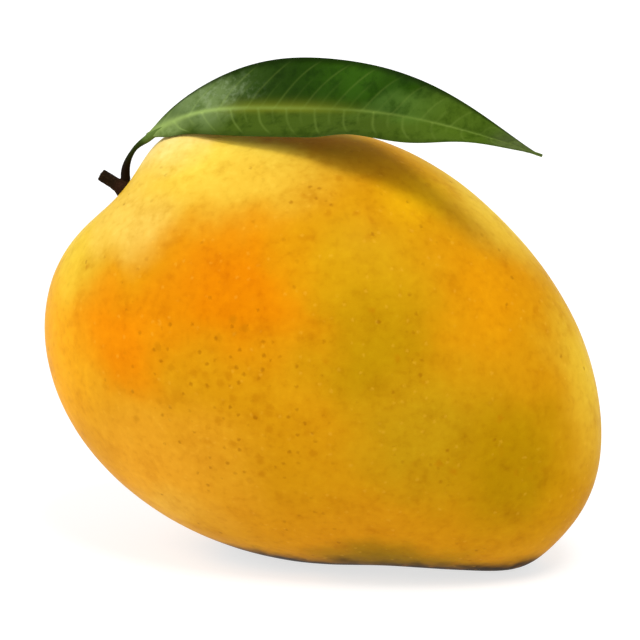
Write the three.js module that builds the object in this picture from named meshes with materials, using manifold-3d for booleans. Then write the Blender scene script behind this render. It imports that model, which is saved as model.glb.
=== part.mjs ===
// A ripe mango with the stub of its stalk and one leaf, in millimetres, +Z up.
// The fruit's length lies along X, with the stem end up at -X and the beak down at +X. Its cheeks
// face -Y and +Y. The origin is under the middle of the fruit, on the surface that it rests on.
import * as THREE from "three";
import { mergeVertices } from "three/addons/utils/BufferGeometryUtils.js";
import Module from "manifold-3d";

const { degToRad } = THREE.MathUtils;

// Fruit: a flattened ellipsoid, turned a little about Y, with lobes raised on it.
const FRUIT_CENTRE = new THREE.Vector3(1.6, 0, 45);
const FRUIT_HALF_LENGTH = 57.7;
const FRUIT_HALF_THICKNESS = 37.5;
const FRUIT_HALF_WIDTH = 45.3;
const FRUIT_TURN = degToRad(-5.7);
const FRUIT_DIVISIONS = 20;

// Each lobe raises the skin by its height around a direction in the XZ plane, measured in degrees
// from +X towards +Z, and fades over its spread. A height below zero makes a hollow.
const LOBES = {
  beak: { height: 9.4, angle: -36.5, spread: 26.6 },
  beakTip: { height: 2.0, angle: -47.2, spread: 7.9 },
  sinus: { height: -1.55, angle: -70.3, spread: 14.4 },
  belly: { height: 1.3, angle: -128, spread: 40 },
  stemShoulder: { height: 2.75, angle: 179, spread: 45 },
  crown: { height: 3.7, angle: 128, spread: 12 },
  stemHollow: { height: -2.6, angle: 147, spread: 14 },
  back: { height: -6.4, angle: 24.5, spread: 43.5 },
};

// Stem: a woody stub, cut across its end, whose flared foot sits in the stem hollow.
const STEM_FOOT = new THREE.Vector3(-42.2, 0, 75.4);
const STEM_ANGLE = degToRad(150.5);
const STEM_ROOT_DEPTH = 4;
const STEM_LENGTH = 6;
const STEM_SIDES = 16;
const SEAT_GAP = 0.3;

// The stub's radius at each height above the middle of its foot, from its root to its cut end.
const STEM_SECTION = [
  { radius: 1.35, height: -STEM_ROOT_DEPTH },
  { radius: 1.45, height: -1.6 },
  { radius: 2.1, height: -0.3 },
  { radius: 2.0, height: 0.5 },
  { radius: 1.5, height: 1.7 },
  { radius: 1.35, height: 3 },
  { radius: 1.35, height: STEM_LENGTH - 0.25 },
  { radius: 1.1, height: STEM_LENGTH },
];

// The cushion on the stem's foot, which the leaf stalk grows from.
const CUSHION_START = new THREE.Vector3(-42.5, 0, 75.9);
const CUSHION_END = new THREE.Vector3(-42.0, 0, 78.0);
const CUSHION_RADII = { start: 1.15, end: 1.05 };
const CUSHION_STEPS = 3;

// Leaf: a stalk that bends up from the cushion and runs on as the midrib of an arched blade.
const STALK_PATH = [
  new THREE.Vector3(-42.0, 0, 78.3),
  new THREE.Vector3(-42.3, -0.5, 81.8),
  new THREE.Vector3(-38.5, -3.5, 85.7),
  new THREE.Vector3(-36.3, -3.0, 87.6),
];
const MIDRIB_PATH = [
  new THREE.Vector3(-36.3, -3.0, 87.6),
  new THREE.Vector3(-16.9, 1.9, 102.3),
  new THREE.Vector3(27.9, -16.0, 97.0),
  new THREE.Vector3(49.8, -18.2, 91.1),
];
const STALK_RADII = { foot: 1.0, waist: 0.5, blade: 0.8 };
const STALK_WAIST = 0.6;
const MIDRIB_TIP_RADIUS = 0.35;
const MIDRIB_DROP = 0.45;
const RIB_SIDES = 8;
const STALK_STEPS = 12;

const BLADE_HALF_WIDTH = 10;
const BLADE_THICKNESS = 0.8;
const BLADE_END_HALF_WIDTH = 0.5;
const BLADE_BASE_TAPER = 1.13;
const BLADE_TIP_TAPER = 1.41;
const BLADE_TILT = { base: degToRad(48.8), tip: degToRad(44.9) };
const BLADE_FOLD = { base: degToRad(-5.4), tip: degToRad(38) };
const BLADE_FOLD_SOFTNESS = 0.06;
const NEAR_WAVE = { height: 1.68, count: 3.43, phase: 0.34, start: 0.43, full: 0.61 };
const FAR_WAVE = { height: 0.7, count: 1.85, phase: -0.14, start: 0.1, full: 0.5 };
const BLADE_LENGTH_STEPS = 48;
const BLADE_WIDTH_STEPS = 12;

const wasm = await Module();
wasm.setup();

// Solids and meshes.

function solidFrom(geometry) {
  const bare = geometry.clone();
  bare.deleteAttribute("normal");
  bare.deleteAttribute("uv");
  const merged = mergeVertices(bare, 1e-4);
  return new wasm.Manifold(
    new wasm.Mesh({
      numProp: 3,
      vertProperties: merged.attributes.position.array,
      triVerts: new Uint32Array(merged.index.array),
    }),
  );
}

function geometryFrom(solid) {
  const mesh = solid.getMesh();
  const geometry = new THREE.BufferGeometry();
  geometry.setAttribute("position", new THREE.BufferAttribute(mesh.vertProperties, 3));
  geometry.setIndex(new THREE.BufferAttribute(mesh.triVerts, 1));
  geometry.computeVertexNormals();
  return geometry;
}

function namedMesh(name, solid, look) {
  const mesh = new THREE.Mesh(geometryFrom(solid), new THREE.MeshStandardMaterial(look));
  mesh.name = name;
  return mesh;
}

// Moves every point of a geometry to where place(point) puts it.
function reshape(geometry, place) {
  const position = geometry.attributes.position;
  const point = new THREE.Vector3();
  for (let i = 0; i < position.count; i++) {
    place(point.fromBufferAttribute(position, i));
    position.setXYZ(i, point.x, point.y, point.z);
  }
  return geometry;
}

// A closed tube of round section along a curve, with its radius given along the curve from 0 to 1.
// dropAt says how far the tube's centre lies below the curve.
function taperedTube(curve, radiusAt, steps, dropAt = () => 0) {
  const tube = new THREE.CylinderGeometry(1, 1, 1, RIB_SIDES, steps);
  const tangent = new THREE.Vector3();
  const sideways = new THREE.Vector3();
  const upward = new THREE.Vector3();
  return reshape(tube, (point) => {
    const t = THREE.MathUtils.clamp(point.y + 0.5, 0, 1);
    curve.getTangent(t, tangent);
    sideways.set(0, 1, 0).addScaledVector(tangent, -tangent.y).normalize();
    upward.crossVectors(tangent, sideways);
    const across = point.z * radiusAt(t);
    const above = point.x * radiusAt(t) - dropAt(t);
    curve.getPoint(t, point);
    point.addScaledVector(sideways, across).addScaledVector(upward, above);
  });
}

// Fruit.

function fruitRadius(direction) {
  const along = direction.x * Math.cos(FRUIT_TURN) + direction.z * Math.sin(FRUIT_TURN);
  const upward = direction.z * Math.cos(FRUIT_TURN) - direction.x * Math.sin(FRUIT_TURN);
  let radius = 1 / Math.hypot(
    along / FRUIT_HALF_LENGTH,
    direction.y / FRUIT_HALF_THICKNESS,
    upward / FRUIT_HALF_WIDTH,
  );
  for (const { height, angle, spread } of Object.values(LOBES)) {
    const heading = degToRad(angle);
    const cosine = direction.x * Math.cos(heading) + direction.z * Math.sin(heading);
    const away = Math.acos(THREE.MathUtils.clamp(cosine, -1, 1)) / degToRad(spread);
    radius += height * Math.exp(-away * away);
  }
  return radius;
}

// A cube's faces, divided into even angles, swell out to the fruit's skin.
function fruitSkin() {
  const n = FRUIT_DIVISIONS;
  const evenly = (value) => Math.tan((value * Math.PI) / 4);
  return reshape(new THREE.BoxGeometry(2, 2, 2, n, n, n), (point) => {
    point.set(evenly(point.x), evenly(point.y), evenly(point.z)).normalize();
    point.multiplyScalar(fruitRadius(point)).add(FRUIT_CENTRE);
  });
}

// What the fruit rests on presses its underside flat, so a block below z = 0 trims it.
function surfaceBlock() {
  const depth = 20;
  const block = new THREE.BoxGeometry(4 * FRUIT_HALF_LENGTH, 4 * FRUIT_HALF_THICKNESS, depth);
  return block.translate(0, 0, -depth / 2);
}

// Stem.

// A gap above zero makes the stub larger all round, to cut its seat in the fruit.
function stubGeometry(gap) {
  const side = STEM_SECTION.map(({ radius, height }) => new THREE.Vector2(radius + gap, height));
  side[0].y -= gap;
  const profile = [new THREE.Vector2(0, side[0].y), ...side, new THREE.Vector2(0, STEM_LENGTH)];
  const stub = new THREE.LatheGeometry(profile, STEM_SIDES);
  // The lathe's axis is Y: it leans over in the XY plane, which is then stood up as the XZ plane.
  stub.rotateZ(STEM_ANGLE - Math.PI / 2);
  stub.rotateX(Math.PI / 2);
  return stub.translate(STEM_FOOT.x, STEM_FOOT.y, STEM_FOOT.z);
}

function stemSolid(gap) {
  const line = new THREE.LineCurve3(CUSHION_START, CUSHION_END);
  const radiusAt = (t) => THREE.MathUtils.lerp(CUSHION_RADII.start, CUSHION_RADII.end, t) + gap;
  const cushion = taperedTube(line, radiusAt, CUSHION_STEPS);
  return solidFrom(stubGeometry(gap)).add(solidFrom(cushion));
}

// Leaf.

const stalkCurve = new THREE.CubicBezierCurve3(...STALK_PATH);
const midribCurve = new THREE.CubicBezierCurve3(...MIDRIB_PATH);

function bladeHalfWidth(t) {
  const widest = BLADE_BASE_TAPER / (BLADE_BASE_TAPER + BLADE_TIP_TAPER);
  const shape = (v) => v ** BLADE_BASE_TAPER * (1 - v) ** BLADE_TIP_TAPER;
  const spread = BLADE_HALF_WIDTH * (shape(THREE.MathUtils.clamp(t, 0, 1)) / shape(widest));
  return Math.max(spread, BLADE_END_HALF_WIDTH);
}

// The margins wave up and down, more towards the tip's half, and the midrib stays still.
function marginWave(t, s) {
  const { height, count, phase, start, full } = s < 0 ? NEAR_WAVE : FAR_WAVE;
  const swing = Math.sin(2 * Math.PI * (count * t + phase)) * s * s;
  const strength = THREE.MathUtils.smoothstep(t, start, full) * (bladeHalfWidth(t) / BLADE_HALF_WIDTH);
  return height * swing * strength;
}

// The middle of the blade's thickness, at t from the base, 0, to the tip, 1, and s from the near
// margin, -1, over the midrib, 0, to the far margin, 1.
function bladePoint(t, s) {
  const { lerp } = THREE.MathUtils;
  const tangent = midribCurve.getTangent(THREE.MathUtils.clamp(t, 0, 1));
  const sideways = new THREE.Vector3(0, 0, 1).cross(tangent).normalize();
  const tilt = lerp(BLADE_TILT.base, BLADE_TILT.tip, t);
  const fold = lerp(BLADE_FOLD.base, BLADE_FOLD.tip, t);
  const across = sideways.applyAxisAngle(tangent, tilt);
  const outward = new THREE.Vector3().crossVectors(tangent, across);
  const crease = Math.hypot(s, BLADE_FOLD_SOFTNESS) - BLADE_FOLD_SOFTNESS;
  const width = bladeHalfWidth(t);
  const rise = width * Math.sin(fold) * crease + marginWave(t, s);
  return midribCurve
    .getPoint(THREE.MathUtils.clamp(t, 0, 1))
    .addScaledVector(across, width * Math.cos(fold) * s)
    .addScaledVector(outward, rise);
}

function bladeNormal(t, s) {
  const step = 1e-3;
  const [t0, t1] = [Math.max(t - step, 0), Math.min(t + step, 1)];
  const [s0, s1] = [Math.max(s - step, -1), Math.min(s + step, 1)];
  const lengthwise = bladePoint(t1, s).sub(bladePoint(t0, s));
  const crosswise = bladePoint(t, s1).sub(bladePoint(t, s0));
  return lengthwise.cross(crosswise).normalize();
}

// A thin box, bent to the blade. Its lower face is split into triangles as its upper face is.
function bladeGeometry() {
  const blade = new THREE.BoxGeometry(1, 1, 1, BLADE_LENGTH_STEPS, BLADE_WIDTH_STEPS, 1);
  const index = blade.index.array;
  const lowerFace = blade.groups[5];
  for (let i = lowerFace.start; i < lowerFace.start + lowerFace.count; i += 6) {
    const [a, b, d, , c] = index.slice(i, i + 6);
    index.set([a, b, c, a, c, d], i);
  }
  return reshape(blade, (point) => {
    const [t, s, side] = [point.x + 0.5, 2 * point.y, 2 * point.z];
    const normal = bladeNormal(t, s);
    point.copy(bladePoint(t, s)).addScaledVector(normal, (side * BLADE_THICKNESS) / 2);
  });
}

function stalkRadius(t) {
  const { foot, waist, blade } = STALK_RADII;
  const { lerp, smoothstep } = THREE.MathUtils;
  return t < STALK_WAIST
    ? lerp(foot, waist, smoothstep(t, 0, STALK_WAIST))
    : lerp(waist, blade, smoothstep(t, STALK_WAIST, 1));
}

function leafSolid() {
  const { lerp, smoothstep } = THREE.MathUtils;
  const stalkDrop = (t) => MIDRIB_DROP * smoothstep(t, STALK_WAIST, 1);
  const stalk = taperedTube(stalkCurve, stalkRadius, STALK_STEPS, stalkDrop);
  const midribRadius = (t) => lerp(STALK_RADII.blade, MIDRIB_TIP_RADIUS, t);
  const midrib = taperedTube(midribCurve, midribRadius, BLADE_LENGTH_STEPS, () => MIDRIB_DROP);
  return solidFrom(bladeGeometry()).add(solidFrom(midrib)).add(solidFrom(stalk));
}

// The whole mango.

const fruit = solidFrom(fruitSkin()).subtract(solidFrom(surfaceBlock())).subtract(stemSolid(SEAT_GAP));

const mango = new THREE.Group();
mango.add(
  namedMesh("fruit", fruit, { color: 0xf2b01e, roughness: 0.4, metalness: 0 }),
  namedMesh("stem", stemSolid(0), { color: 0x2e1d14, roughness: 0.8, metalness: 0 }),
  namedMesh("leaf", leafSolid(), { color: 0x3f6b1f, roughness: 0.45, metalness: 0 }),
);

export default mango;
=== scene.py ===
"""A ripe mango with a stub of its stalk and one arched leaf, dressed over its fixed frame.

The fruit's length lies along X, with the stem end up at -X and the beak down at +X. Its cheeks face
-Y and +Y, and Z is up. Sizes here are in millimetres, and a mesh is made in metres when its points
are placed.
"""

import logging
import math
from collections.abc import Callable, Mapping, Sequence
from dataclasses import dataclass, field
from enum import Enum

import bmesh
import bpy
import numpy as np
from mathutils import Matrix, Vector, noise


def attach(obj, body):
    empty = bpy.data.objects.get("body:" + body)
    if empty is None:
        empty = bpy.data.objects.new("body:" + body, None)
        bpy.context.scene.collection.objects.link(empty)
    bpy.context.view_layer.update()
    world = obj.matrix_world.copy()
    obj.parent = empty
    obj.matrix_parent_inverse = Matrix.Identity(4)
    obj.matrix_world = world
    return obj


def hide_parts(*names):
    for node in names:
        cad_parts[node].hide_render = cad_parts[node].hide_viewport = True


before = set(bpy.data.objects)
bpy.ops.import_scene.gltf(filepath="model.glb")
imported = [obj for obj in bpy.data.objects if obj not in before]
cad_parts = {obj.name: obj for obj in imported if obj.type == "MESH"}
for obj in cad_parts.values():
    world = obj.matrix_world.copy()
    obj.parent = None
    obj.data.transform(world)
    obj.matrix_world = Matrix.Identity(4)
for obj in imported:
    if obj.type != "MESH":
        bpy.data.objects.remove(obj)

LOG = logging.getLogger("mango")
METRES = 0.001
ROOT = "root"
CLOUDS_ABOVE = (0.5, 0.75)
CLOUDS_BELOW = (0.5, 0.25)

Point = tuple[float, float, float]
Colour = tuple[float, float, float, float]


class Slot(Enum):
    """The record's material slots."""

    SKIN = "skin"
    BARK = "bark"
    LEAF = "leaf"


def shade_of(red: int, green: int, blue: int) -> Colour:
    """A colour as it is seen, from 0 to 255 a channel, as the light that a shader works in.

    Args:
        red: The red channel.
        green: The green channel.
        blue: The blue channel.

    Returns:
        The linear colour, with an alpha of 1.
    """

    def linear(channel: int) -> float:
        """One channel, made linear."""
        value = channel / 255
        return value / 12.92 if value <= 0.04045 else ((value + 0.055) / 1.055) ** 2.4

    return (linear(red), linear(green), linear(blue), 1.0)


def eased(values: np.ndarray, low: float, high: float) -> np.ndarray:
    """A smooth step from 0 at low to 1 at high.

    Args:
        values: Where to read the step.
        low: The value where it starts.
        high: The value where it ends.

    Returns:
        The step at each value.
    """
    share = np.clip((values - low) / (high - low), 0, 1)
    return share * share * (3 - 2 * share)


def unit(vectors: np.ndarray) -> np.ndarray:
    """The vectors, each made one long."""
    return vectors / np.linalg.norm(vectors, axis=-1, keepdims=True)


def wander(points: np.ndarray, size: float, seed: float = 0.0) -> np.ndarray:
    """Smooth random values between about -1 and 1, the same each run.

    Args:
        points: Places, in millimetres.
        size: How far apart the values' hills lie.
        seed: Another seed gives other hills.

    Returns:
        One value a point.
    """
    shift = Vector((seed, 2.3 * seed, -1.7 * seed))
    return np.array([noise.noise(Vector(point) / size + shift) for point in points])


class Shade:
    """A value or a colour that varies over a surface, with the arithmetic for masks."""

    def __init__(self, tree: "ShadeTree", socket: bpy.types.NodeSocket) -> None:
        """Wraps one output of a node of the tree."""
        self.tree = tree
        self.socket = socket

    def _maths(self, operation: str, first: "Shade | float", second: "Shade | float") -> "Shade":
        """A Math node on two values."""
        return self.tree.node("ShaderNodeMath", {"operation": operation}, {0: first, 1: second})

    def __add__(self, other: "Shade | float") -> "Shade":
        """The sum."""
        return self._maths("ADD", self, other)

    def __radd__(self, other: float) -> "Shade":
        """The sum, with the number first."""
        return self._maths("ADD", other, self)

    def __sub__(self, other: "Shade | float") -> "Shade":
        """The difference."""
        return self._maths("SUBTRACT", self, other)

    def __rsub__(self, other: float) -> "Shade":
        """The difference, with the number first."""
        return self._maths("SUBTRACT", other, self)

    def __mul__(self, other: "Shade | float") -> "Shade":
        """The product."""
        return self._maths("MULTIPLY", self, other)

    def __rmul__(self, other: float) -> "Shade":
        """The product, with the number first."""
        return self._maths("MULTIPLY", other, self)

    def step(self, low: float, high: float) -> "Shade":
        """A smooth step from 0 at low to 1 at high. It falls where high is the smaller.

        Args:
            low: The value that gives 0.
            high: The value that gives 1.

        Returns:
            The step.
        """
        return self.tree.node(
            "ShaderNodeMapRange",
            {"interpolation_type": "SMOOTHSTEP"},
            {"Value": self, "From Min": low, "From Max": high, "To Min": 0.0, "To Max": 1.0},
        )


class ShadeTree:
    """The node tree of one finish."""

    def __init__(self, name: str) -> None:
        """Starts a material whose tree holds one shader.

        Args:
            name: The material's name.
        """
        self.material = bpy.data.materials.new(name)
        self.material.use_nodes = True
        self.nodes = self.material.node_tree.nodes
        self.links = self.material.node_tree.links
        self.shader = self.nodes["Principled BSDF"]

    def feed(self, socket: bpy.types.NodeSocket, value: object) -> None:
        """Links a shade to a socket, or sets the socket's own value.

        Args:
            socket: The input.
            value: A shade, a number, or a colour or vector.
        """
        if isinstance(value, Shade):
            self.links.new(value.socket, socket)
        else:
            socket.default_value = value

    def node(
        self,
        kind: str,
        settings: Mapping[str, object] | None = None,
        inputs: Mapping[str | int, object] | None = None,
        output: str | int = 0,
    ) -> Shade:
        """Adds a node.

        Args:
            kind: The node's type.
            settings: Its settings, which are set first.
            inputs: The values or shades of its sockets.
            output: The output that is wanted.

        Returns:
            That output.
        """
        made = self.nodes.new(kind)
        for name, value in (settings or {}).items():
            setattr(made, name, value)
        for key, value in (inputs or {}).items():
            self.feed(made.inputs[key], value)
        return Shade(self, made.outputs[output])

    def place(self) -> Shade:
        """Where a point of the surface is, in millimetres."""
        metres = self.node("ShaderNodeTexCoord", output="Object")
        return self.scaled(metres, 1 / METRES)

    def attribute(self, name: str) -> Shade:
        """A value that the mesh carries under that name."""
        return self.node("ShaderNodeAttribute", {"attribute_name": name}, output="Fac")

    def vector(self, operation: str, first: Shade, second: Shade | Point) -> Shade:
        """A Vector Math node on two vectors."""
        return self.node("ShaderNodeVectorMath", {"operation": operation}, {0: first, 1: second})

    def scaled(self, first: Shade, factor: float) -> Shade:
        """The vector, made longer by a factor."""
        return self.vector("MULTIPLY", first, (factor, factor, factor))

    def mix(
        self, first: Shade | Colour, second: Shade | Colour, share: Shade | float, label: str = ""
    ) -> Shade:
        """A colour between two.

        Args:
            first: The colour at a share of 0.
            second: The colour at a share of 1.
            share: How much of the second.
            label: What the node is called in the editor.

        Returns:
            The mixed colour.
        """
        settings = {"data_type": "RGBA", "label": label}
        return self.node("ShaderNodeMix", settings, {0: share, 6: first, 7: second}, output=2)

    def clouds(self, place: Shade, size: float, detail: float = 3.0, rough: float = 0.5) -> Shade:
        """Soft noise around 0.5, whose clouds have a size in millimetres."""
        inputs = {"Vector": place, "Scale": 1 / size, "Detail": detail, "Roughness": rough}
        return self.node("ShaderNodeTexNoise", {}, inputs, output=0)

    def shaken(self, place: Shade, size: float, reach: float) -> Shade:
        """Places moved about by noise, so that what is drawn on them gets a ragged edge.

        Args:
            place: The place on the surface, in millimetres.
            size: The size of the noise's clouds, in millimetres.
            reach: How far a place moves at the most, in millimetres.

        Returns:
            The moved places.
        """
        inputs = {"Vector": place, "Scale": 1 / size, "Detail": 3.0}
        noise_at = self.node("ShaderNodeTexNoise", {}, inputs, output="Color")
        shift = self.scaled(self.vector("SUBTRACT", noise_at, (0.5, 0.5, 0.5)), reach)
        return self.vector("ADD", place, shift)

    def cells(self, place: Shade, size: float) -> tuple[Shade, Shade]:
        """Scattered cells.

        Args:
            place: Where they are read, in millimetres.
            size: How far apart they lie, in millimetres.

        Returns:
            The distance from the nearest cell's middle, in cell sizes, and the cell's random value.
        """
        made = self.node("ShaderNodeTexVoronoi", {}, {"Vector": place, "Scale": 1 / size})
        voronoi = made.socket.node
        red = self.node("ShaderNodeSeparateColor", {}, {0: Shade(self, voronoi.outputs["Color"])})
        return Shade(self, voronoi.outputs["Distance"]), red

    def patch(self, place: Shade, centre: Point, radii: Point) -> Shade:
        """A soft-edged patch.

        Args:
            place: Where it is read, in millimetres.
            centre: Its middle.
            radii: Its half sizes along X, Y and Z.

        Returns:
            1 in its middle, falling to 0 at its radii.
        """
        offset = self.vector("SUBTRACT", place, centre)
        shares = self.vector("DIVIDE", offset, radii)
        length = self.node(
            "ShaderNodeVectorMath", {"operation": "LENGTH"}, {0: shares}, output="Value"
        )
        return length.step(1.0, 0.15)

    def bump(self, height: Shade, distance: float) -> Shade:
        """The normal of fine relief, where a height of 1 stands for a distance in millimetres."""
        inputs = {"Height": height, "Distance": distance * METRES, "Strength": 1.0}
        return self.node("ShaderNodeBump", {}, inputs)

    def finish(self, varying: Mapping[str, Shade], constant: Mapping[str, object]) -> None:
        """Sets the shader's sockets, both those that vary over the surface and those that don't."""
        for name, value in {**varying, **constant}.items():
            self.feed(self.shader.inputs[name], value)


@dataclass(frozen=True)
class Blush:
    """A soft patch of another colour on a surface, in millimetres."""

    name: str
    colour: Colour
    centre: Point
    radii: Point
    strength: float

    def mask(self, tree: ShadeTree, place: Shade) -> Shade:
        """How much of its colour shows at a place."""
        return tree.patch(place, self.centre, self.radii) * self.strength


def blushed(
    tree: ShadeTree, place: Shade, ground: Shade | Colour, blushes: Sequence[Blush], drift: float
) -> Shade:
    """Lays soft patches over a colour, with edges that wander.

    Args:
        tree: The tree.
        place: The place on the surface, in millimetres.
        ground: The colour under them.
        blushes: The patches, the last of them on top.
        drift: How far their edges wander, in millimetres.

    Returns:
        The colour with them.
    """
    moved = tree.shaken(place, drift, drift)
    colour = ground
    for blush in blushes:
        colour = tree.mix(colour, blush.colour, blush.mask(tree, moved), blush.name)
    return colour


@dataclass(frozen=True)
class Spots:
    """Small round spots of one kind, scattered over a skin.

    The gap is the mean distance from one to the next, in millimetres, and the reach is a spot's
    radius as a share of it. Only cells whose random value is above the rarity hold a spot.
    """

    colour: Colour
    gap: float
    reach: float
    rarity: float
    strength: float

    def mask(self, tree: ShadeTree, place: Shade, crowding: Shade | float) -> Shade:
        """Where the spots are.

        Args:
            tree: The tree.
            place: The place on the surface, in millimetres.
            crowding: How many more there are than the rarity gives, from 0.

        Returns:
            1 in a spot's middle and 0 off the spots.
        """
        ragged = tree.shaken(place, self.gap * 0.3, self.gap * 0.4)
        distance, random = tree.cells(ragged, self.gap)
        present = (random + crowding).step(self.rarity, self.rarity + 0.1)
        return distance.step(self.reach, self.reach * 0.25) * present


@dataclass(frozen=True)
class SkinFinish:
    """Ripe mango skin: waxy, golden, blushed orange and green, with fine pores and brown specks.

    Some of its patches are painted light: highlights on the crown, sheen along the back edge,
    the leaf's shadow on the crown and shade along the bottom.
    """

    ground: Colour = shade_of(200, 138, 10)
    blushes: tuple[Blush, ...] = (
        Blush("stem shoulder", shade_of(222, 186, 52), (-54, -10, 68), (26, 36, 28), 0.95),
        # Partly the crown's own yellow and partly a painted highlight where light falls on the top.
        Blush("crown", shade_of(224, 192, 66), (-22, -6, 88), (42, 34, 26), 0.95),
        # Painted highlight: a pale, whitish spot on the top beside the stem.
        Blush("painted highlight by the stem", shade_of(230, 202, 122), (-31, -4, 87), (16, 14, 12), 0.8),
        # Painted highlight on the upper shoulder near the stem end.
        Blush("painted highlight on the shoulder", shade_of(230, 196, 92), (-37, -20, 74), (17, 17, 12), 0.6),
        Blush("stem side", shade_of(239, 166, 25), (-50, -14, 44), (20, 36, 24), 0.9),
        Blush("low stem side", shade_of(225, 156, 36), (-26, -24, 26), (34, 30, 24), 0.85),
        Blush("stem side's foot", shade_of(224, 170, 56), (-24, -20, 13), (20, 20, 10), 0.6),
        Blush("belly", shade_of(203, 134, 14), (10, -24, 14), (34, 24, 16), 0.7),
        Blush("near blush", shade_of(212, 122, 1), (-10, -34, 65), (28, 24, 22), 0.95),
        Blush("near blush's tail", shade_of(223, 129, 3), (-33, -30, 52), (20, 20, 18), 0.9),
        Blush("near green band", shade_of(175, 131, 5), (20, -35, 55), (19, 26, 22), 0.95),
        Blush("near green band's top", shade_of(194, 145, 10), (15, -29, 70), (20, 20, 16), 0.8),
        Blush("near green belly", shade_of(182, 140, 12), (31, -30, 36), (22, 26, 20), 0.85),
        Blush("near orange patch", shade_of(212, 139, 6), (41, -18, 62), (18, 20, 16), 0.9),
        Blush("near brown side", shade_of(171, 127, 2), (46, -22, 27), (20, 24, 22), 0.95),
        Blush("beak", shade_of(198, 138, 4), (57, -6, 18), (14, 22, 18), 0.75),
        Blush("far blush", shade_of(205, 124, 3), (-18, 34, 60), (32, 26, 24), 0.9),
        Blush("far blush's tail", shade_of(214, 130, 5), (6, 34, 44), (22, 22, 20), 0.7),
        Blush("far green band", shade_of(180, 134, 7), (30, 30, 52), (20, 26, 26), 0.85),
        Blush("far low side", shade_of(214, 151, 28), (-26, 26, 28), (30, 28, 22), 0.8),
        Blush("far brown side", shade_of(177, 127, 4), (44, 22, 26), (18, 22, 20), 0.8),
        Blush("far crown", shade_of(216, 166, 34), (4, 20, 82), (40, 18, 18), 0.7),
        # Painted sheen: a paler band along the fruit's upper back and right edge, where light
        # grazes the skin.
        Blush("painted sheen on the back ridge", shade_of(228, 190, 58), (38, 8, 74), (40, 22, 22), 0.9),
        Blush("painted sheen on the back edge", shade_of(225, 187, 50), (60, 2, 50), (16, 24, 38), 0.9),
        # Painted shadow of the leaf on the top of the fruit below the blade and its near margin,
        # and a painted patch of light that lightens that shadow below the tip.
        Blush("painted leaf shadow under the blade", shade_of(176, 116, 1), (8, -6, 87), (14, 10, 8), 0.6),
        Blush("painted light in the leaf shadow under the tip", shade_of(244, 190, 10), (29, -13, 81), (16, 14, 10), 0.6),
        Blush("painted leaf shadow under the near margin", shade_of(190, 100, 0), (-8, -5, 89), (22, 6, 8), 0.7),
        # Painted shade: a dark band along the belly just above the floor.
        Blush("painted shade under the belly", shade_of(110, 90, 6), (20, -18, 5), (24, 14, 9), 0.75),
    )
    # Painted shade: the colour that the skin darkens to towards the floor.
    painted_underside_shade: Colour = shade_of(46, 28, 1)
    darker: Point = (0.82, 0.72, 0.5)
    paler: Point = (1.1, 1.18, 1.5)
    pores: Spots = Spots(shade_of(238, 180, 56), 2.0, 0.28, 0.55, 0.17)
    specks: Spots = Spots(shade_of(140, 80, 2), 1.7, 0.38, 0.94, 0.45)
    blots: Spots = Spots(shade_of(176, 108, 3), 2.7, 0.5, 0.95, 0.42)
    speck_place: Point = (-10, -36, 42)
    speck_radii: Point = (30, 24, 28)
    crowding: float = 0.45
    cluster_size: float = 12.0
    cluster_crowding: float = 0.3
    drift: float = 16.0
    broad_size: float = 6.0
    grain_size: float = 1.6
    fine_size: float = 0.9
    # Where that painted shade starts and where it is full, as heights in millimetres, and how far
    # its edge wanders.
    underside_top: float = 9.4
    underside_full: float = 4.8
    underside_ragged: float = 6.0
    relief: float = 0.05
    gloss_size: float = 7.0
    gloss_range: float = 0.16
    roughness: float = 0.4
    shine: float = 0.01

    def material(self) -> bpy.types.Material:
        """Builds the skin's material.

        Returns:
            The material.
        """
        tree = ShadeTree("mango_skin")
        place = tree.place()
        colour = blushed(tree, place, self.ground, self.blushes, self.drift)
        colour = self._mottled(tree, place, colour)
        speckled, raised = self._specks(tree, place, colour)
        height = tree.clouds(place, self.fine_size, detail=4.0) * 0.5 + raised
        gloss = tree.clouds(place, self.gloss_size) * self.gloss_range
        gloss = gloss + (self.roughness - self.gloss_range / 2)
        normal = tree.bump(height, self.relief)
        tree.finish(
            {"Base Color": speckled, "Roughness": gloss, "Normal": normal},
            {"Specular IOR Level": self.shine},
        )
        return tree.material

    def _mottled(self, tree: ShadeTree, place: Shade, colour: Shade) -> Shade:
        """Breaks the colour up with pale and dark clouds, and paints shade on the bottom of the
        fruit, darkest towards the floor.

        Args:
            tree: The tree.
            place: The place on the skin.
            colour: The colour so far.

        Returns:
            The mottled colour.
        """
        broad = tree.clouds(place, self.broad_size, detail=4.0)
        grain = tree.clouds(place, self.grain_size, detail=2.0)
        darker = tree.vector("MULTIPLY", colour, self.darker)
        paler = tree.vector("MULTIPLY", colour, self.paler)
        dark = broad.step(*CLOUDS_ABOVE) * 0.5 + grain.step(*CLOUDS_ABOVE) * 0.4
        pale = broad.step(*CLOUDS_BELOW) * 0.4 + grain.step(*CLOUDS_BELOW) * 0.4
        colour = tree.mix(tree.mix(colour, darker, dark), paler, pale)
        # Painted shade: the skin darkens towards the floor.
        height = tree.node("ShaderNodeSeparateXYZ", {}, {0: place}, output="Z")
        height = height + broad * self.underside_ragged
        return tree.mix(
            colour, self.painted_underside_shade, height.step(self.underside_top, self.underside_full)
        )

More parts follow.
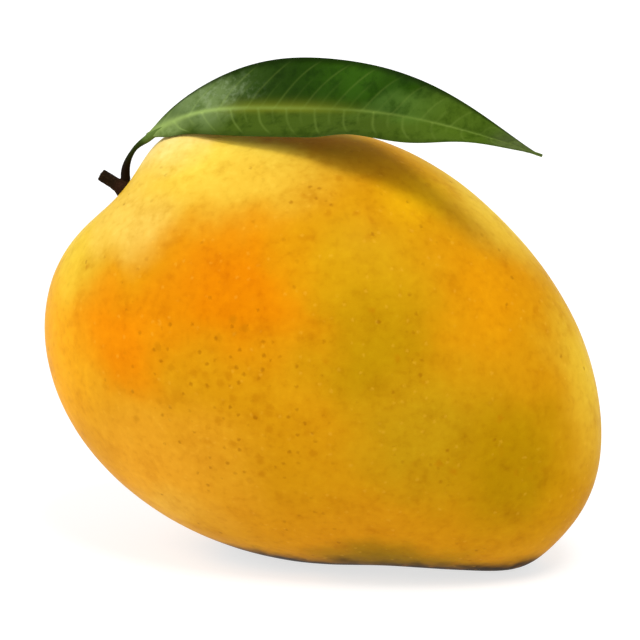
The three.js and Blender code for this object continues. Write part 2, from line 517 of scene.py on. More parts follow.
    def _specks(self, tree: ShadeTree, place: Shade, colour: Shade) -> tuple[Shade, Shade]:
        """Adds the pores all over, and the brown blots and specks, thickest under the blush.

        Args:
            tree: The tree.
            place: The place on the skin.
            colour: The colour so far.

        Returns:
            The colour with them, and how far they stand up.
        """
        clusters = tree.clouds(place, self.cluster_size).step(*CLOUDS_ABOVE)
        crowding = tree.patch(place, self.speck_place, self.speck_radii) * self.crowding
        crowding = crowding + clusters * self.cluster_crowding
        pores = self.pores.mask(tree, place, 0.0)
        blots = self.blots.mask(tree, place, crowding)
        specks = self.specks.mask(tree, place, crowding)
        colour = tree.mix(colour, self.pores.colour, pores * self.pores.strength)
        colour = tree.mix(colour, self.blots.colour, blots * self.blots.strength)
        colour = tree.mix(colour, self.specks.colour, specks * self.specks.strength)
        return colour, pores * 0.4 - specks * 0.4


@dataclass(frozen=True)
class BarkFinish:
    """Dry dark bark, with a purple-brown foot."""

    bark: Colour = shade_of(28, 18, 7)
    ridge: Colour = shade_of(54, 38, 22)
    foot: Blush = Blush("foot", shade_of(58, 26, 16), (-42.4, 0.0, 75.6), (3.2, 3.2, 3.0), 0.6)
    grain_size: float = 0.5
    relief: float = 0.12
    shine: float = 0.03

    def material(self) -> bpy.types.Material:
        """Builds the bark's material.

        Returns:
            The material.
        """
        tree = ShadeTree("mango_bark")
        place = tree.place()
        grain = tree.clouds(place, self.grain_size, detail=5.0, rough=0.65)
        colour = tree.mix(self.bark, self.ridge, grain.step(0.45, 0.75))
        colour = tree.mix(colour, self.foot.colour, self.foot.mask(tree, place), self.foot.name)
        tree.finish(
            {
                "Base Color": colour,
                "Roughness": grain * 0.3 + 0.55,
                "Normal": tree.bump(grain, self.relief),
            },
            {"Specular IOR Level": self.shine},
        )
        return tree.material


@dataclass(frozen=True)
class LeafFinish:
    """A leathery leaf, dark and glossy above, paler below, with yellow-green veins, and painted
    flecks of highlight near its base.
    """

    far_half: Colour = shade_of(25, 50, 1)
    near_half: Colour = shade_of(61, 80, 18)
    blushes: tuple[Blush, ...] = (
        Blush("far crest", shade_of(46, 82, 8), (14, -4, 102), (22, 10, 9), 0.8),
        Blush("far side by the rib", shade_of(76, 106, 38), (22, -11, 98), (16, 5.5, 4.5), 0.75),
        Blush("tip side", shade_of(74, 98, 24), (34, -14, 96), (20, 14, 11), 0.9),
        Blush("base side", shade_of(46, 68, 18), (-16, 1, 100), (16, 12, 9), 0.6),
        # Partly the paler tissue by the stalk and partly a painted grey-green sheen.
        Blush("base", shade_of(104, 124, 72), (-25, -1, 95), (13, 12, 8), 0.9),
        Blush("foot", shade_of(122, 142, 82), (-33, -4, 89), (8, 8, 6), 0.8),
        Blush("tip", shade_of(90, 101, 58), (46, -17, 92), (9, 8, 7), 0.8),
    )
    margin: Colour = shade_of(14, 30, 1)
    lower: Colour = shade_of(84, 106, 46)
    vein: Colour = shade_of(112, 132, 56)
    vein_foot: Blush = Blush("vein foot", shade_of(152, 176, 96), (-29, -2, 94), (18, 14, 12), 0.9)
    # Painted highlight: pale grey-green flecks near the blade's base.
    painted_glint: Blush = Blush("glints", shade_of(140, 156, 118), (-22, -1, 97), (14, 10, 7), 0.34)
    rib_band: Colour = shade_of(104, 112, 26)
    stalk_foot: Colour = shade_of(26, 17, 9)
    stalk: Colour = shade_of(44, 60, 16)
    darker: Point = (0.62, 0.68, 0.5)
    drift: float = 8.0
    vein_drift: float = 4.0
    broad_size: float = 3.0
    glint_size: float = 1.3
    fine_size: float = 0.5
    band_strength: float = 0.7
    margin_strength: float = 0.75
    relief: float = 0.04
    shine: float = 0.016

    def material(self) -> bpy.types.Material:
        """Builds the leaf's material from the values that its mesh carries.

        Returns:
            The material.
        """
        tree = ShadeTree("mango_leaf")
        place = tree.place()
        broad = tree.clouds(place, self.broad_size, detail=4.0, rough=0.6)
        top = self._upper_side(tree, place, broad)
        colour = tree.mix(self.lower, top, tree.attribute("upper_side"))
        vein = blushed(tree, place, self.vein, (self.vein_foot,), self.vein_drift)
        colour = tree.mix(colour, vein, tree.attribute("vein"))
        bark = tree.mix(self.stalk_foot, self.stalk, tree.attribute("along_stalk"))
        colour = tree.mix(colour, bark, tree.attribute("on_stalk"))
        fine = tree.clouds(place, self.fine_size)
        tree.finish(
            {
                "Base Color": colour,
                "Roughness": broad * 0.2 + 0.26,
                "Normal": tree.bump(fine, self.relief),
            },
            {"Specular IOR Level": self.shine},
        )
        return tree.material

    def _upper_side(self, tree: ShadeTree, place: Shade, broad: Shade) -> Shade:
        """The colour of the blade's upper side, without its veins, with painted sheen and flecks of
        highlight near the base.

        Args:
            tree: The tree.
            place: The place on the leaf.
            broad: The broad clouds that darken it.

        Returns:
            The colour.
        """
        top = tree.mix(self.far_half, self.near_half, tree.attribute("near_side"))
        top = blushed(tree, place, top, self.blushes, self.drift)
        top = tree.mix(top, tree.vector("MULTIPLY", top, self.darker), broad.step(0.45, 0.7))
        # Painted highlight: pale flecks near the base, scattered by clouds.
        sparkle = tree.clouds(place, self.glint_size, rough=0.6).step(0.42, 0.7)
        glints = self.painted_glint.mask(tree, place) * sparkle
        top = tree.mix(top, self.painted_glint.colour, glints, self.painted_glint.name)
        top = tree.mix(top, self.rib_band, tree.attribute("rib_band") * self.band_strength)
        return tree.mix(top, self.margin, tree.attribute("margin") * self.margin_strength)


@dataclass(frozen=True)
class Lobe:
    """A rise of the skin, or a hollow where its height is below zero.

    The angle is in degrees from +X towards +Z, and the spread is how far it reaches, in degrees.
    """

    height: float
    angle: float
    spread: float


@dataclass
class Fruit:
    """The whole fruit, as one closed skin."""

    centre: Point = (1.6, 0.0, 45.0)
    half_length: float = 57.7
    half_thickness: float = 37.5
    half_width: float = 45.3
    turn: float = math.radians(-5.7)
    lobes: tuple[Lobe, ...] = (
        Lobe(9.4, -36.5, 26.6),
        Lobe(2.0, -47.2, 7.9),
        Lobe(-1.55, -70.3, 14.4),
        Lobe(1.3, -128.0, 40.0),
        Lobe(2.75, 179.0, 45.0),
        Lobe(3.7, 128.0, 12.0),
        Lobe(-2.6, 147.0, 14.0),
        Lobe(-6.4, 24.5, 43.5),
        Lobe(0.4, 131.5, 9.0),
    )
    divisions: int = 96
    sink: float = 0.01
    undulation: float = 0.06
    swell_size: float = 14.0
    ripple_size: float = 5.0
    stem_foot: Point = (-42.2, 0.0, 75.4)
    dimple_depth: float = 0.8
    dimple_radius: float = 2.9
    skin: SkinFinish = field(default_factory=SkinFinish)

    def radii(self, directions: np.ndarray) -> np.ndarray:
        """How far the skin is from the fruit's centre.

        Args:
            directions: Unit vectors.

        Returns:
            The distance in each direction.
        """
        x, y, z = directions.T
        along = x * math.cos(self.turn) + z * math.sin(self.turn)
        upward = z * math.cos(self.turn) - x * math.sin(self.turn)
        shares = np.array(
            [along / self.half_length, y / self.half_thickness, upward / self.half_width]
        )
        radii = 1 / np.linalg.norm(shares, axis=0)
        for lobe in self.lobes:
            heading = math.radians(lobe.angle)
            cosine = np.clip(x * math.cos(heading) + z * math.sin(heading), -1, 1)
            radii += lobe.height * np.exp(-((np.arccos(cosine) / math.radians(lobe.spread)) ** 2))
        return radii

    def build(self) -> bpy.types.Object:
        """Makes the skin: a cube's finely divided faces swell out to the fruit's form.

        Returns:
            The skin.
        """
        shell = bmesh.new()
        bmesh.ops.create_cube(shell, size=2)
        bmesh.ops.subdivide_edges(
            shell, edges=shell.edges[:], cuts=self.divisions - 1, use_grid_fill=True
        )
        mesh = mesh_from(shell, "fruit_skin")
        directions = unit(np.tan(points_of(mesh) * math.pi / 4))
        radii = self.radii(directions) - self.sink
        points = directions * radii[:, None] + self.centre
        points += directions * (self._unevenness(points) - self._dimple(points))[:, None]
        points[:, 2] = np.maximum(points[:, 2], 0)
        place_points(mesh, points)
        return add_piece(mesh, self.skin.material(), "fruit")

    def _unevenness(self, points: np.ndarray) -> np.ndarray:
        """The slight unevenness of a grown skin, mostly below zero."""
        swell = wander(points, self.swell_size, seed=3.0)
        return self.undulation * (swell + 0.4 * wander(points, self.ripple_size) - 0.7)

    def _dimple(self, points: np.ndarray) -> np.ndarray:
        """How deep the skin dips around the stem's foot."""
        away = np.linalg.norm(points - self.stem_foot, axis=1)
        return self.dimple_depth * np.exp(-((away / self.dimple_radius) ** 2))


@dataclass(frozen=True)
class Bezier:
    """A cubic curve, in millimetres."""

    start: Point
    start_handle: Point
    end_handle: Point
    end: Point

    def corners(self) -> np.ndarray:
        """Its ends and handles, a row each."""
        return np.array((self.start, self.start_handle, self.end_handle, self.end))

    def points(self, t: np.ndarray) -> np.ndarray:
        """The points of the curve.

        Args:
            t: Where they are, from its start, 0, to its end, 1.

        Returns:
            The points, a row each.
        """
        a, b, c, d = self.corners()
        t = t[:, None]
        return (1 - t) ** 3 * a + 3 * (1 - t) ** 2 * t * b + 3 * (1 - t) * t**2 * c + t**3 * d

    def tangents(self, t: np.ndarray) -> np.ndarray:
        """The directions in which the curve runs.

        Args:
            t: Where they are read, from its start, 0, to its end, 1.

        Returns:
            The unit directions, a row each.
        """
        a, b, c, d = self.corners()
        t = t[:, None]
        return unit((1 - t) ** 2 * (b - a) + 2 * (1 - t) * t * (c - b) + t**2 * (d - c))

    def lengths(self, t: np.ndarray) -> np.ndarray:
        """How long the curve is up to some of its points.

        Args:
            t: The points, from its start, 0, to its end, 1.

        Returns:
            The length up to each of them, in millimetres.
        """
        fine = np.linspace(0, 1, 400)
        steps = np.linalg.norm(np.diff(self.points(fine), axis=0), axis=1)
        return np.interp(t, fine, np.concatenate([[0], np.cumsum(steps)]))

    def first(self, share: float) -> "Bezier":
        """The curve's first part.

        Args:
            share: Where that part ends, from the curve's start, 0, to its end, 1.

        Returns:
            The part, as a curve of its own.
        """
        rows = [self.corners()]
        while len(rows[-1]) > 1:
            rows.append(rows[-1][:-1] * (1 - share) + rows[-1][1:] * share)
        return Bezier(*(tuple(row[0]) for row in rows))


def tube_mesh(
    name: str,
    curve: Bezier,
    radius_at: Callable[[np.ndarray], np.ndarray],
    drop_at: Callable[[np.ndarray], np.ndarray],
    steps: int,
    sides: int,
) -> tuple[bpy.types.Mesh, np.ndarray]:
    """A closed tube along a curve.

    Args:
        name: The mesh's name.
        curve: What it follows.
        radius_at: Its radius along the curve, from 0 to 1.
        drop_at: How far its centre lies below the curve.
        steps: How many rings it has.
        sides: How many sides a ring has.

    Returns:
        The mesh and, for each point, how far along the curve it is.
    """
    tube = bmesh.new()
    bmesh.ops.create_cone(
        tube, cap_ends=True, segments=sides, radius1=1, radius2=1, depth=1,
        matrix=Matrix.Translation((0, 0, 0.5)),
    )
    lengthwise = [edge for edge in tube.edges if abs(edge.verts[0].co.z - edge.verts[1].co.z) > 0.5]
    bmesh.ops.subdivide_edges(tube, edges=lengthwise, cuts=steps - 1, use_grid_fill=True)
    mesh = mesh_from(tube, name)
    flat = points_of(mesh)
    t = np.clip(flat[:, 2], 0, 1)
    tangents = curve.tangents(t)
    sideways = unit(np.array([0, 1, 0]) - tangents * tangents[:, 1:2])
    upward = np.cross(tangents, sideways)
    radii = radius_at(t)
    points = curve.points(t) + sideways * (flat[:, 1] * radii)[:, None]
    points += upward * (flat[:, 0] * radii - drop_at(t))[:, None]
    place_points(mesh, points)
    return mesh, t


@dataclass
class Stem:
    """The woody stub, with the cushion on its foot that the leaf grows from."""

    foot: Point = (-42.2, 0.0, 75.4)
    lean: float = math.radians(150.5)
    section: tuple[tuple[float, float], ...] = (
        (1.35, -4.0), (1.45, -1.6), (2.1, -0.3), (2.0, 0.5), (1.5, 1.7), (1.35, 3.0),
        (1.35, 5.75), (1.1, 6.0),
    )
    cut_end: float = 5.85
    cushion: Bezier = Bezier((-42.5, 0, 75.9), (-42.4, 0, 76.6), (-42.1, 0, 77.3), (-42.0, 0, 78.0))
    cushion_radii: tuple[float, float] = (1.15, 1.05)
    turns: int = 48
    grain: float = 0.11
    wrinkle_depth: float = 0.09
    wrinkle_sink: float = 0.6
    wrinkle_stretch: float = 0.75
    bark: BarkFinish = field(default_factory=BarkFinish)

    def build(self) -> bpy.types.Object:
        """Makes the stub and the cushion, and fuses them under one wrinkled bark.

        Returns:
            The stub.
        """
        wood = bmesh.new()
        ends = [(0.0, self.section[0][1]), *self.section, (0.0, self.cut_end)]
        ring = [wood.verts.new((radius, 0, height)) for radius, height in ends]
        edges = [wood.edges.new(pair) for pair in zip(ring, ring[1:])]
        bmesh.ops.spin(
            wood, geom=ring + edges, axis=(0, 0, 1), cent=(0, 0, 0), angle=math.tau,
            steps=self.turns, use_merge=True,
        )
        bmesh.ops.remove_doubles(wood, verts=wood.verts[:], dist=1e-4)
        bmesh.ops.recalc_face_normals(wood, faces=wood.faces[:])
        bmesh.ops.rotate(
            wood, verts=wood.verts[:], cent=(0, 0, 0),
            matrix=Matrix.Rotation(math.pi / 2 - self.lean, 3, "Y"),
        )
        bmesh.ops.translate(wood, verts=wood.verts[:], vec=self.foot)
        start, end = self.cushion_radii
        cushion, _ = tube_mesh(
            "cushion", self.cushion, lambda t: start + (end - start) * t, np.zeros_like, 6, 32
        )
        mesh = mesh_from(wood, "wood")
        place_points(mesh, points_of(mesh))
        stem = bpy.data.objects.new("stem_stub", joined([mesh, cushion], "stem_stub"))
        self._fuse(stem)
        return add_piece(stem.data, self.bark.material(), "stem", stem)

    def _fuse(self, stem: bpy.types.Object) -> None:
        """Melts the pieces of wood into one and wrinkles the bark lengthwise.

        Args:
            stem: The object, whose mesh is replaced.
        """
        bpy.context.scene.collection.objects.link(stem)
        remesh = stem.modifiers.new("fuse", "REMESH")
        remesh.mode = "VOXEL"
        remesh.voxel_size = self.grain * METRES
        smooth = stem.modifiers.new("soften", "SMOOTH")
        smooth.iterations = 3
        apply_modifiers(stem)
        points = points_of(stem.data) / METRES
        normals = np.array([vertex.normal for vertex in stem.data.vertices])
        axis = np.array([math.cos(self.lean), 0, math.sin(self.lean)])
        offset = points - self.foot
        along = offset @ axis
        stretched = offset - axis * (self.wrinkle_stretch * along)[:, None]
        bark = wander(stretched, 0.55, seed=5.0) + 0.5 * wander(points, 0.3, seed=8.0)
        depth = self.wrinkle_depth * (bark - self.wrinkle_sink)
        place_points(stem.data, points + normals * depth[:, None])


@dataclass(frozen=True)
class Wave:
    """How a margin waves: its height in millimetres, its count of waves, and where it sets in."""

    height: float
    count: float
    phase: float
    start: float
    full: float

    def lift(self, t: np.ndarray) -> np.ndarray:
        """How far it lifts the margin at t, from the base, 0, to the tip, 1."""
        swing = np.sin(math.tau * (self.count * t + self.phase))
        return self.height * swing * eased(t, self.start, self.full)


@dataclass
class Leaf:
    """The leaf: a stalk that runs on as the midrib of an arched, folded blade with waved margins.

    Places along the blade are shares of its length, from the base, 0, to the tip, 1. The ear widens
    the near side at the base, and the rib bends off the blade's middle line to the near side.
    """

    stalk: Bezier = Bezier(
        (-42.0, 0.0, 77.7), (-42.3, -0.5, 81.8), (-38.5, -3.5, 85.7), (-36.3, -3.0, 87.6)
    )
    midrib: Bezier = Bezier(
        (-36.3, -3.0, 87.6), (-16.9, 1.9, 102.3), (27.9, -16.0, 97.0), (49.8, -18.2, 91.1)
    )
    stalk_radii: tuple[float, float, float] = (1.0, 0.5, 0.8)
    stalk_waist: float = 0.6
    stalk_run: float = 0.16
    stalk_sink: float = 0.45
    stalk_rings: tuple[int, int] = (60, 40)
    stalk_sides: int = 24
    half_width: float = 10.0
    end_half_width: float = 0.25
    base_taper: float = 1.13
    tip_taper: float = 1.41
    ear: float = 0.9
    ear_place: float = 0.05
    ear_reach: float = 0.05
    tilt: tuple[float, float] = (math.radians(48.8), math.radians(44.9))
    fold: tuple[float, float] = (math.radians(-5.4), math.radians(38))
    fold_softness: float = 0.06
    near_wave: Wave = Wave(1.68, 3.43, 0.34, 0.43, 0.61)
    far_wave: Wave = Wave(0.7, 1.85, -0.14, 0.1, 0.5)
    half_thickness: float = 0.17
    rib_above: float = 0.14
    rib_below: float = 0.7
    rib_width: float = 0.62
    vein_gap: float = 6.6
    vein_lean: tuple[float, float] = (math.radians(58), math.radians(70))
    vein_sweep: float = 2.6
    vein_width: float = 0.24
    vein_offset: float = 0.42
    vein_jitter: float = 0.12
    minor_vein: float = 0.45
    vein_taper: float = 0.65
    vein_height: float = 0.07
    vein_paleness: tuple[float, float] = (0.22, 0.34)
    rib_paleness: float = 0.6
    rib_bend: float = 1.84
    rib_bend_place: float = 0.375
    rib_bend_reach: float = 0.19
    band_width: float = 1.5
    quilting: float = 0.13
    length_steps: int = 340
    width_steps: int = 96
    finish: LeafFinish = field(default_factory=LeafFinish)

    def widths(self, t: np.ndarray) -> np.ndarray:
        """Half the blade's width.

        Args:
            t: Where it is read, from the base, 0, to the tip, 1.

        Returns:
            The half width at each t, in millimetres.
        """
        widest = self.base_taper / (self.base_taper + self.tip_taper)

        def shape(v: np.ndarray) -> np.ndarray:
            """The blade's taper to both ends."""
            return v**self.base_taper * (1 - v) ** self.tip_taper

        width = self.half_width * shape(np.clip(t, 0, 1)) / shape(widest)
        return np.maximum(width, self.end_half_width)

    def from_rib(self, t: np.ndarray, s: np.ndarray) -> np.ndarray:
        """How far across the blade points are from its rib, which bends to the near side.

        Args:
            t: How far from the base to the tip, from 0 to 1.
            s: How far from the near margin, -1, to the far margin, 1.

        Returns:
            The same from -1 to 1, with 0 at the rib.
        """
        bend = np.exp(-(((t - self.rib_bend_place) / self.rib_bend_reach) ** 2))
        rib = -self.rib_bend * bend / self.widths(t)
        return (s - rib) / np.where(s < rib, 1 + rib, 1 - rib)

    def middle(self, t: np.ndarray, s: np.ndarray) -> np.ndarray:
        """The middle of the blade's thickness.

        Args:
            t: How far from the base to the tip, from 0 to 1.
            s: How far from the near margin, -1, over the middle line, 0, to the far margin, 1.

        Returns:
            The points.
        """
        t = np.clip(t, 0, 1)
        tangents = self.midrib.tangents(t)
        sideways = unit(np.cross([0, 0, 1], tangents))
        upward = np.cross(tangents, sideways)
        tilt = self.tilt[0] + (self.tilt[1] - self.tilt[0]) * t
        fold = self.fold[0] + (self.fold[1] - self.fold[0]) * t
        across = sideways * np.cos(tilt)[:, None] + upward * np.sin(tilt)[:, None]
        outward = np.cross(tangents, across)
        crease = np.hypot(self.from_rib(t, s), self.fold_softness) - self.fold_softness
        ear = self.ear * np.exp(-(((t - self.ear_place) / self.ear_reach) ** 2))
        widths = self.widths(t) + np.where(s < 0, ear, 0.0)
        wave = np.where(s < 0, self.near_wave.lift(t), self.far_wave.lift(t)) * s * s
        rise = widths * (np.sin(fold) * crease + wave / self.half_width)
        points = self.midrib.points(t) + across * (widths * np.cos(fold) * s)[:, None]
        return points + outward * rise[:, None]

    def normals(self, t: np.ndarray, s: np.ndarray) -> np.ndarray:
        """The directions that the blade's upper side faces.

        Args:
            t: How far from the base to the tip, from 0 to 1.
            s: How far from the near margin, -1, over the middle line, 0, to the far margin, 1.

        Returns:
            The unit directions, a row each.
        """
        step = 1e-3
        t0, t1 = np.clip(t - step, 0, 1), np.clip(t + step, 0, 1)
        s0, s1 = np.clip(s - step, -1, 1), np.clip(s + step, -1, 1)
        lengthwise = self.middle(t1, s) - self.middle(t0, s)
        crosswise = self.middle(t, s1) - self.middle(t, s0)
        return unit(np.cross(lengthwise, crosswise))

    def veins(self, t: np.ndarray, s: np.ndarray) -> tuple[np.ndarray, np.ndarray, np.ndarray]:
        """The veins of the blade.

        Args:
            t: How far from the base to the tip, from 0 to 1.
            s: How far from the near margin, -1, over the rib, 0, to the far margin, 1.

        Returns:
            The midrib's share, the side veins' share, and how far between two side veins, from 0 at
            a vein to 1 midway.
        """
        widths = self.widths(t)
        out = np.abs(s) * widths
        midrib = np.exp(-((out / (self.rib_width * (1 - self.vein_taper * t))) ** 2))
        reach = np.clip(np.abs(s), 0, 1)
        far_lean, near_lean = self.vein_lean
        run = out / np.tan(np.where(s < 0, near_lean, far_lean))
        start = self.midrib.lengths(t) - run - self.vein_sweep * reach**3
        count = start / self.vein_gap + np.where(s < 0, 0.0, self.vein_offset)
        jitter = wander(np.stack([9 * np.round(count), 5 * s, 0 * s], axis=1), 3.0, seed=2.0)
        count += self.vein_jitter * jitter * reach
        away = np.abs(count - np.round(count)) * 2
        fade = 1 - eased(reach, 0.75, 0.98)
        side = np.exp(-((away * self.vein_gap / 2 / self.vein_width) ** 2)) * fade
        minor = np.abs(count + 0.5 - np.round(count + 0.5)) * self.vein_gap
        shown = 1 - eased(reach, 0.4, 0.7)
        side += self.minor_vein * np.exp(-((minor / self.vein_width) ** 2)) * shown
        return midrib, side, away

    def build(self) -> bpy.types.Object:
        """Makes the blade and the stalk as one mesh that carries its veins as values.

        Returns:
            The leaf.
        """
        blade = bmesh.new()
        bmesh.ops.create_grid(
            blade, x_segments=self.length_steps, y_segments=self.width_steps, size=1
        )
        everything = blade.faces[:] + blade.edges[:] + blade.verts[:]
        bmesh.ops.solidify(blade, geom=everything, thickness=1)
        bmesh.ops.recalc_face_normals(blade, faces=blade.faces[:])
        mesh = mesh_from(blade, "blade")
        flat = points_of(mesh)
        t, s = (flat[:, 0] + 1) / 2, flat[:, 1]
        upper = np.where(flat[:, 2] > flat[:, 2].mean(), 1.0, -1.0)
        across = self.from_rib(t, s)
        midrib, side, away = self.veins(t, across)
        inner = 1 - eased(np.abs(s), 0.8, 1.0)
        taper = 1 - self.vein_taper * t
        quilt = self.quilting * np.sin(away * math.pi / 2) * inner
        quilt *= eased(np.abs(across), 0.0, 0.3)
        half = self.half_thickness * (0.5 + 0.5 * inner)
        above = half + quilt + self.rib_above * taper * midrib
        below = half - quilt + self.vein_height * side * inner + self.rib_below * taper * midrib
        lift = np.where(upper > 0, above, -below)
        place_points(mesh, self.middle(t, s) + self.normals(t, s) * lift[:, None])
        carry(mesh, "upper_side", (upper > 0).astype(float))
        carry(mesh, "near_side", 1 - eased(across, -0.12, 0.12))
        carry(mesh, "margin", eased(np.abs(s), 0.8, 0.98) * np.where(s < 0, 0.4, 1.0))
        band = np.exp(-((across * self.widths(t) / self.band_width) ** 2))
        carry(mesh, "rib_band", band * eased(t, 0.16, 0.3) * (1 - eased(t, 0.4, 0.62)))
        uneven = 0.8 + 0.6 * wander(np.stack([90 * t, 12 * s, 0 * s], axis=1), 7.0, seed=4.0)
        far, near = self.vein_paleness
        rib = self.rib_paleness * (1.3 - 0.5 * eased(t, 0.15, 0.4)) * midrib
        pale = rib + np.where(across < 0, near, far) * side
        carry(mesh, "vein", np.clip(pale * uneven, 0, 1))
        carry(mesh, "on_stalk", np.zeros_like(t))
        carry(mesh, "along_stalk", np.ones_like(t))
        whole = joined([mesh, *self._stalk_meshes()], "leaf_blade")
        return add_piece(whole, self.finish.material(), "leaf")

    def _stalk_meshes(self) -> list[bpy.types.Mesh]:
        """The stalk, brown at its foot and green at its top, and its run under the blade.

        Returns:
            Their two meshes.
        """
        foot, waist, top = self.stalk_radii

        def radius_at(t: np.ndarray) -> np.ndarray:
            """The stalk's radius, from its foot to the blade."""
            narrowing = foot + (waist - foot) * eased(t, 0, self.stalk_waist)
            return narrowing + (top - waist) * eased(t, self.stalk_waist, 1)

        def drop_at(t: np.ndarray) -> np.ndarray:
            """How far the stalk sinks under the blade."""
            return self.stalk_sink * eased(t, self.stalk_waist, 1)

        rings, run_rings = self.stalk_rings
        stalk, t = tube_mesh("stalk", self.stalk, radius_at, drop_at, rings, self.stalk_sides)
        run, _ = tube_mesh(
            "stalk_run", self.midrib.first(self.stalk_run), lambda u: top * (1 - 0.75 * u),
            lambda u: self.stalk_sink + 0.1 * u, run_rings, self.stalk_sides,
        )
        self._carry_stalk(stalk, 1 - eased(t, 0.8, 1.0), eased(t, 0.2, 0.95))
        self._carry_stalk(run, np.zeros(len(run.vertices)), np.ones(len(run.vertices)))
        return [stalk, run]

    def _carry_stalk(self, mesh: bpy.types.Mesh, bark: np.ndarray, along: np.ndarray) -> None:
        """Gives the stalk the values that the blade carries.

        Args:
            mesh: The stalk or its run.
            bark: How much each point looks like the stalk, and not like the blade.
            along: How far up the stalk each point is.
        """
        none, full = np.zeros_like(bark), np.ones_like(bark)
        values = {"upper_side": none, "near_side": full, "margin": none, "rib_band": none}
        values |= {"vein": none, "on_stalk": bark, "along_stalk": along}
        for name, value in values.items():
            carry(mesh, name, value)


def mesh_from(shape: bmesh.types.BMesh, name: str) -> bpy.types.Mesh:
    """Turns an edit mesh into a mesh.

    Args:
        shape: The edit mesh, which is freed.
        name: The mesh's name.

    Returns:
        The mesh.
    """
    mesh = bpy.data.meshes.new(name)
    shape.to_mesh(mesh)
    shape.free()
    return mesh


def points_of(mesh: bpy.types.Mesh) -> np.ndarray:
    """Where a mesh's points are.

    Args:
        mesh: The mesh.

    Returns:
        The points, a row each, in the mesh's own units.
    """
    flat = np.empty(len(mesh.vertices) * 3, np.float32)
    mesh.vertices.foreach_get("co", flat)
    return flat.reshape(-1, 3).astype(float)


def place_points(mesh: bpy.types.Mesh, points: np.ndarray) -> None:
    """Puts the mesh's points at places that are given in millimetres."""
    mesh.vertices.foreach_set("co", (points * METRES).astype(np.float32).ravel())
    mesh.update()


def carry(mesh: bpy.types.Mesh, name: str, values: np.ndarray) -> None:
    """Gives each point of the mesh a value that a finish can read by its name."""
    attribute = mesh.attributes.new(name, "FLOAT", "POINT")
    attribute.data.foreach_set("value", values.astype(np.float32))


def joined(meshes: Sequence[bpy.types.Mesh], name: str) -> bpy.types.Mesh:
    """Puts several meshes into one.

    Args:
        meshes: The meshes, which carry the same values.
        name: The name of the one.

    Returns:
        The one mesh.
    """
    whole = bmesh.new()
    for mesh in meshes:
        whole.from_mesh(mesh)
    return mesh_from(whole, name)


def apply_modifiers(thing: bpy.types.Object) -> None:
    """Makes what an object's modifiers show its own mesh.

    Args:
        thing: The object, whose modifiers are then removed.
    """
    graph = bpy.context.evaluated_depsgraph_get()
    shown = bpy.data.meshes.new_from_object(thing.evaluated_get(graph))
    thing.modifiers.clear()
    thing.data = shown


def add_piece(
    mesh: bpy.types.Mesh,
    material: bpy.types.Material,
    node: str,
    thing: bpy.types.Object | None = None,
) -> bpy.types.Object:
    """Adds a piece that stands for a node of the frame.

    Args:
        mesh: Its finished mesh.
        material: Its finish.
        node: The node that it stands for.
        thing: Its object, where it has one already.

    Returns:
        The piece.
    """
    if thing is None:
        thing = bpy.data.objects.new(mesh.name, mesh)
        bpy.context.scene.collection.objects.link(thing)
    mesh.materials.clear()
    mesh.materials.append(material)
    mesh.shade_smooth()
    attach(thing, ROOT)
    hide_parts(node)
    LOG.info("%s: %d faces, for %s", thing.name, len(mesh.polygons), node)
    return thing


def direction(azimuth: float, elevation: float) -> Vector:
    """The unit vector towards a place around the fruit.

    Args:
        azimuth: Degrees from -Y towards +X.
        elevation: Degrees above the floor.

    Returns:
        The vector.
    """
    a, e = math.radians(azimuth), math.radians(elevation)
    return Vector((math.sin(a) * math.cos(e), -math.cos(a) * math.cos(e), math.sin(e)))


@dataclass(frozen=True)
class SoftLight:
    """A wide soft light from far off.

    Its azimuth is in degrees from -Y towards +X, its elevation is in degrees above the floor, and
    its spread is how wide it looks, in degrees.
    """

    name: str
    azimuth: float
    elevation: float
    spread: float
    strength: float

    def build(self) -> None:
        """Hangs the light."""
        light = bpy.data.lights.new(self.name, "SUN")
        light.angle = math.radians(self.spread)
        light.energy = self.strength
        lamp = bpy.data.objects.new(self.name, light)
        facing = direction(self.azimuth, self.elevation).to_track_quat("Z", "Y")
        lamp.rotation_euler = facing.to_euler()
        bpy.context.scene.collection.objects.link(lamp)


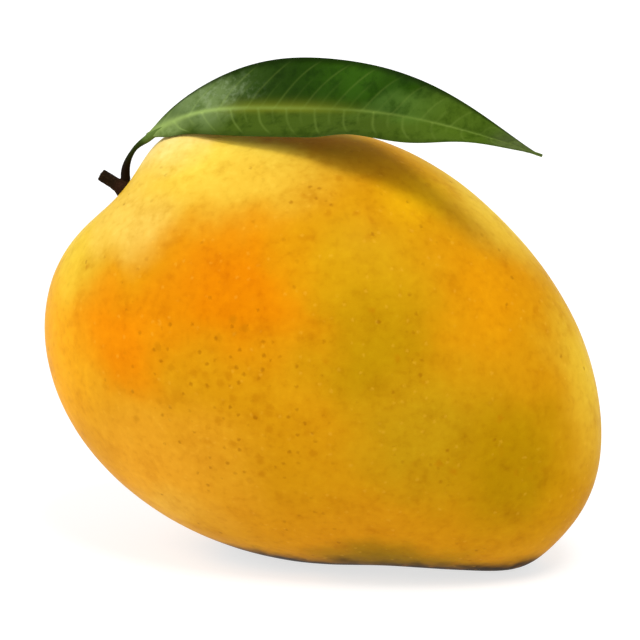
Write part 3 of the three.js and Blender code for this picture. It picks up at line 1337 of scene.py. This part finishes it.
@dataclass
class Studio:
    """The camera, the pale floor and the soft light."""

    target: Point = (-0.00023, 0.0, 0.05019)
    azimuth: float = 15.0
    elevation: float = 14.0
    distance: float = 0.8
    seen_width: float = 640 * 0.0002066
    sensor: float = 36.0
    ambient: float = 0.66
    floor_half: float = 3.0
    floor_colour: Colour = (0.36, 0.36, 0.355, 1.0)
    floor_glow: float = 0.7
    lights: tuple[SoftLight, ...] = (
        SoftLight("key", 37, 62, 20, 1.7),
        SoftLight("fill", 300, 38, 40, 1.1),
    )

    def build(self) -> None:
        """Builds it all."""
        self._camera()
        self._floor()
        self._ambient()
        for light in self.lights:
            light.build()
        bpy.context.scene.view_settings.view_transform = "Standard"

    def _camera(self) -> None:
        """Looks at the fruit from the photograph's side."""
        back = direction(self.azimuth, self.elevation)
        right = direction(self.azimuth + 90, 0)
        up = back.cross(right)
        lens = bpy.data.cameras.new("camera")
        lens.sensor_width = self.sensor
        lens.lens = self.sensor * self.distance / self.seen_width
        camera = bpy.data.objects.new("camera", lens)
        turn = Matrix((right, up, back)).transposed()
        stand = Matrix.Translation(Vector(self.target) + back * self.distance)
        camera.matrix_world = stand @ turn.to_4x4()
        bpy.context.scene.collection.objects.link(camera)
        bpy.context.scene.camera = camera

    def _floor(self) -> None:
        """Lays the floor that the fruit rests on."""
        plane = bmesh.new()
        bmesh.ops.create_grid(plane, x_segments=1, y_segments=1, size=self.floor_half)
        floor = bpy.data.objects.new("floor", mesh_from(plane, "floor"))
        tree = ShadeTree("light_table")
        glow = {"Emission Color": (1.0, 1.0, 1.0, 1.0), "Emission Strength": self.floor_glow}
        tree.finish({}, {"Base Color": self.floor_colour, "Roughness": 0.9, **glow})
        floor.data.materials.append(tree.material)
        bpy.context.scene.collection.objects.link(floor)

    def _ambient(self) -> None:
        """Fills the room with even light."""
        world = bpy.data.worlds.new("room")
        world.use_nodes = True
        background = world.node_tree.nodes["Background"]
        background.inputs["Color"].default_value = (1.0, 1.0, 1.0, 1.0)
        background.inputs["Strength"].default_value = self.ambient
        bpy.context.scene.world = world


def main() -> None:
    """Builds the studio, then the mango's pieces in order."""
    logging.basicConfig(level=logging.INFO, format="%(name)s: %(message)s")
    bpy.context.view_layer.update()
    Studio().build()
    pieces = [Fruit().build(), Stem().build(), Leaf().build()]


if __name__ == "__main__":
    main()
